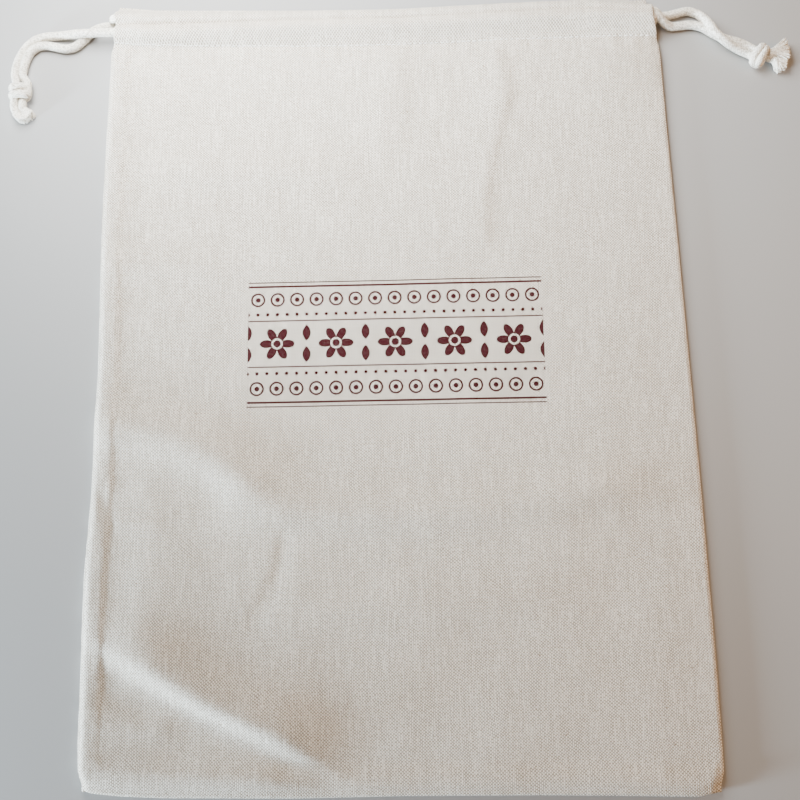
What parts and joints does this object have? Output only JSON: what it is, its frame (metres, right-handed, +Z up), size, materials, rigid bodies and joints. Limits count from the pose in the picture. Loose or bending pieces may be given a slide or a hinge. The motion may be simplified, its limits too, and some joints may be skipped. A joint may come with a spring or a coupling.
{
  "type": "drawstring bread bag",
  "caption": "Flat cloth bread bag lying closed, with a stitched casing at the mouth and a knotted drawcord coming out at each side.",
  "frame": {"origin": "on the surface the bag lies on, below the middle of its cloth", "axes": "+X from the sewn side to the folded side, +Y from the bottom seam to the mouth, +Z up through the two panels"},
  "size_m": [0.4207, 0.4076, 0.0125],
  "materials": {
    "calico": "unbleached plain-weave cotton, matt, with fine slubs and specks",
    "cotton_cord": "soft braided cotton cord, matt, cream"
  },
  "bodies": {
    "root": {"bag_cloth": "calico", "left_strand_upper": "cotton_cord", "left_strand_lower": "cotton_cord", "right_strand_upper": "cotton_cord", "right_strand_lower": "cotton_cord", "left_cord_front_run": "cotton_cord", "left_cord_back_run": "cotton_cord", "right_cord_front_run": "cotton_cord", "right_cord_back_run": "cotton_cord", "left_cord_bend": "cotton_cord", "right_cord_bend": "cotton_cord", "left_knot": "cotton_cord", "right_knot": "cotton_cord", "left_tail_outer": "cotton_cord", "left_tail_inner": "cotton_cord", "right_tail_upper": "cotton_cord", "right_tail_lower": "cotton_cord"}
  },
  "joints": []
}
